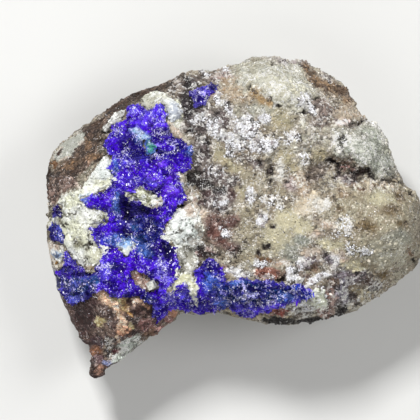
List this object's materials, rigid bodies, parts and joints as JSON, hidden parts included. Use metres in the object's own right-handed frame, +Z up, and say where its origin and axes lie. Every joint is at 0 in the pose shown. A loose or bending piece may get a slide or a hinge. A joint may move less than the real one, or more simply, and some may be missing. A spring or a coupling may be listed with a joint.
{
  "type": "linarite specimen",
  "caption": "Broken piece of quartz and iron-stained rock with a crust of small blue linarite crystals and pale mineral crusts on its face; it lies on its flat broken back.",
  "frame": {"origin": "on the surface that the specimen rests on, under the middle of its bounding box", "axes": "+Z up out of the crystal face; +X to the right across the face, its longest side; +Y to its top edge"},
  "size_m": [0.038, 0.0322, 0.0171],
  "materials": {
    "host_rock": "matt broken quartz and gossan, glittering in places",
    "linarite": "glassy, sparkling, deep violet blue",
    "pale_crust": "matt, platy, chalky",
    "white_crust": "sugary, bluish white",
    "green_crystal": "glassy green",
    "grey_cube": "satin grey faces"
  },
  "bodies": {
    "root": {"host_rock": "host_rock", "linarite_field": "linarite", "linarite_top_patch": "linarite", "linarite_left_patch": "linarite", "linarite_bead": "linarite", "pale_crust_left": "pale_crust", "pale_crust_top": "pale_crust", "pale_crust_strip": "pale_crust", "pale_crust_middle": "pale_crust", "pale_crust_fork": "pale_crust", "pale_crust_edge": "pale_crust", "pale_crust_knot": "pale_crust", "pale_crust_island": "pale_crust", "white_crust_core": "white_crust", "green_tuft": "green_crystal", "grey_cube": "grey_cube"}
  },
  "joints": []
}
